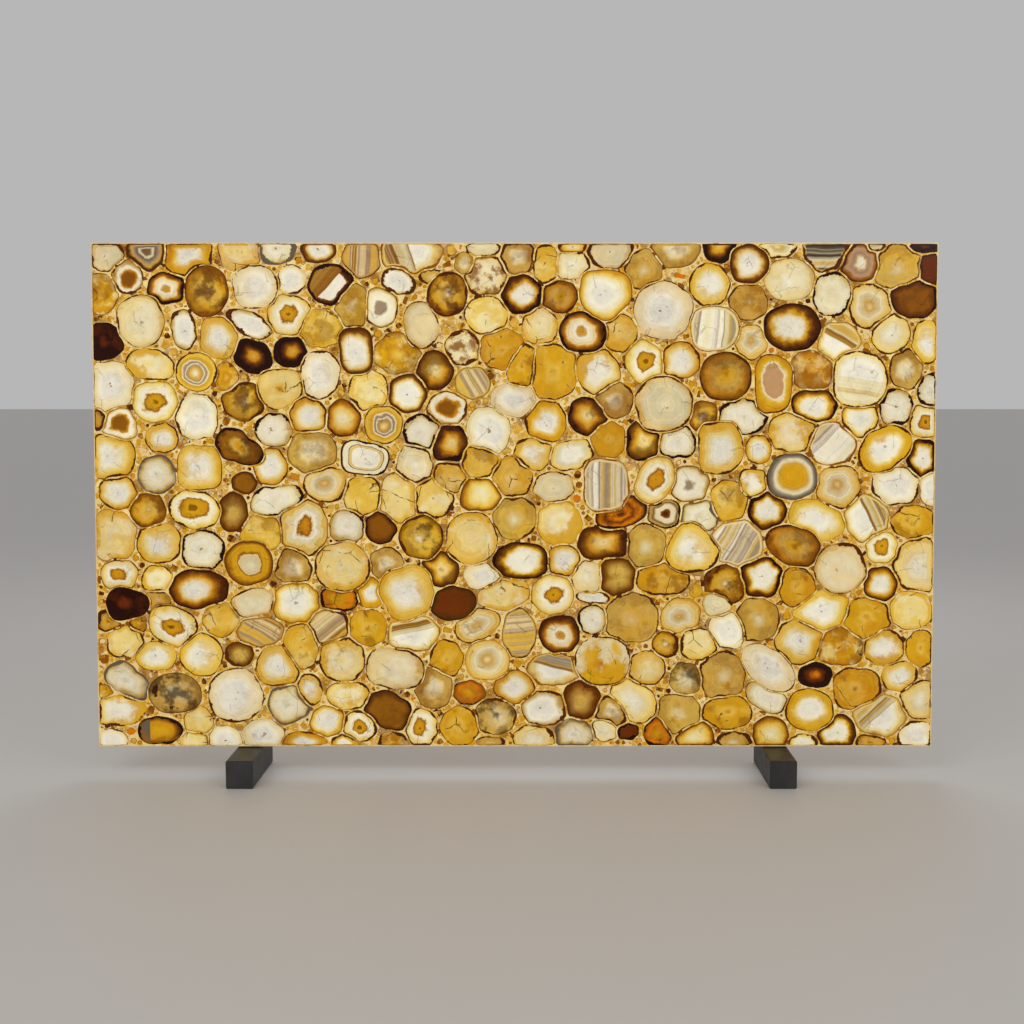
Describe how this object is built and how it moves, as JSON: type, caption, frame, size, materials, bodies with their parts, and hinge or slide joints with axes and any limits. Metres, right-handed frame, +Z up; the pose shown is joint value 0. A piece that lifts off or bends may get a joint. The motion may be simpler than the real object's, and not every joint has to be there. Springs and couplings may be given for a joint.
{
  "type": "agate composite slab on stand",
  "caption": "Large polished rectangular slab of agate slices set in amber resin with chips, leaning back slightly on a black steel stand with square feet.",
  "frame": {"origin": "on the floor, midway across the slab and midway along the feet, front to back", "axes": "+X across the slab to the viewer's right, +Y from the polished front face towards the posts behind, +Z up"},
  "size_m": [3, 0.33, 1.903],
  "materials": {
    "amber_resin": "polished resin and agate chips",
    "black_steel": "matt black powder coat",
    "black_rubber": "matt",
    "agate_white_heart": "polished",
    "agate_ivory": "polished",
    "agate_greige": "polished",
    "agate_butter": "polished",
    "agate_gold": "polished",
    "agate_tan_disc": "polished",
    "agate_honey_white": "polished",
    "agate_amber_white": "polished",
    "agate_brown_white": "polished",
    "agate_dark_white": "polished",
    "agate_dark_honey": "polished",
    "agate_amber_core": "polished",
    "agate_dark_core": "polished",
    "agate_amber_banded": "polished",
    "agate_envelope": "polished",
    "agate_grey_white": "polished",
    "agate_grey_amber": "polished",
    "agate_striped_grey": "polished",
    "agate_striped_pale": "polished",
    "agate_black": "polished",
    "agate_mahogany": "polished",
    "agate_brown": "polished",
    "agate_brown_mottle": "polished",
    "agate_smoky": "polished",
    "agate_mauve": "polished"
  },
  "bodies": {
    "root": {"resin_matrix": "amber_resin", "slice_ivory_corner": "agate_ivory", "slice_mottled_corner": "agate_brown_mottle", "slice_white_top": "agate_white_heart", "slice_amber_banded_left": "agate_amber_banded", "slice_butter_left": "agate_butter", "slice_white_leaning": "agate_white_heart", "slice_brown_rimmed": "agate_brown_white", "slice_greige_top": "agate_greige", "slice_mottled_top": "agate_brown_mottle", "slice_dark_core": "agate_dark_core", "slice_brown_rimmed_top": "agate_brown_white", "slice_white_scalloped": "agate_white_heart", "slice_greige_middle": "agate_greige", "slice_striped_upright": "agate_striped_grey", "slice_brown_right": "agate_brown", "slice_brown_rimmed_right": "agate_brown_white", "slice_dark_rimmed_right": "agate_dark_white", "slice_striped_pale": "agate_striped_pale", "slice_mauve": "agate_mauve", "slice_amber_banded_middle": "agate_amber_banded", "slice_honey_block": "agate_honey_white", "slice_dark_bean": "agate_dark_honey", "slice_grey_left": "agate_grey_white", "slice_envelope": "agate_envelope", "slice_amber_core_left": "agate_amber_core", "slice_honey_lens": "agate_honey_white", "slice_butter_middle": "agate_butter", "slice_dark_blotches": "agate_brown_mottle", "slice_butter_large": "agate_butter", "slice_striped_block": "agate_striped_grey", "slice_amber_core_leaning": "agate_amber_core", "slice_honey_tall": "agate_honey_white", "slice_grey_amber": "agate_grey_amber", "slice_amber_leaning": "agate_amber_white", "slice_honey_crystal": "agate_honey_white", "slice_tan_disc": "agate_tan_disc", "slice_brown_leaning": "agate_brown", "slice_honey_wide": "agate_honey_white", "slice_white_biggest": "agate_white_heart", "slice_smoky": "agate_smoky", "slice_amber_core_low": "agate_amber_core", "slice_honey_round": "agate_honey_white", "slice_black_left": "agate_black", "slice_pale_large": "agate_ivory", "slice_mahogany": "agate_mahogany", "slice_cream_core": "agate_amber_core", "slice_gold_large": "agate_gold", "slice_white_long": "agate_white_heart", "slice_amber_low": "agate_amber_white", "foot_left": "black_steel", "post_left": "black_steel", "foot_pad_left": "black_rubber", "back_strip_left": "black_rubber", "foot_right": "black_steel", "post_right": "black_steel", "foot_pad_right": "black_rubber", "back_strip_right": "black_rubber", "rail_low": "black_steel", "rail_high": "black_steel"}
  },
  "joints": []
}
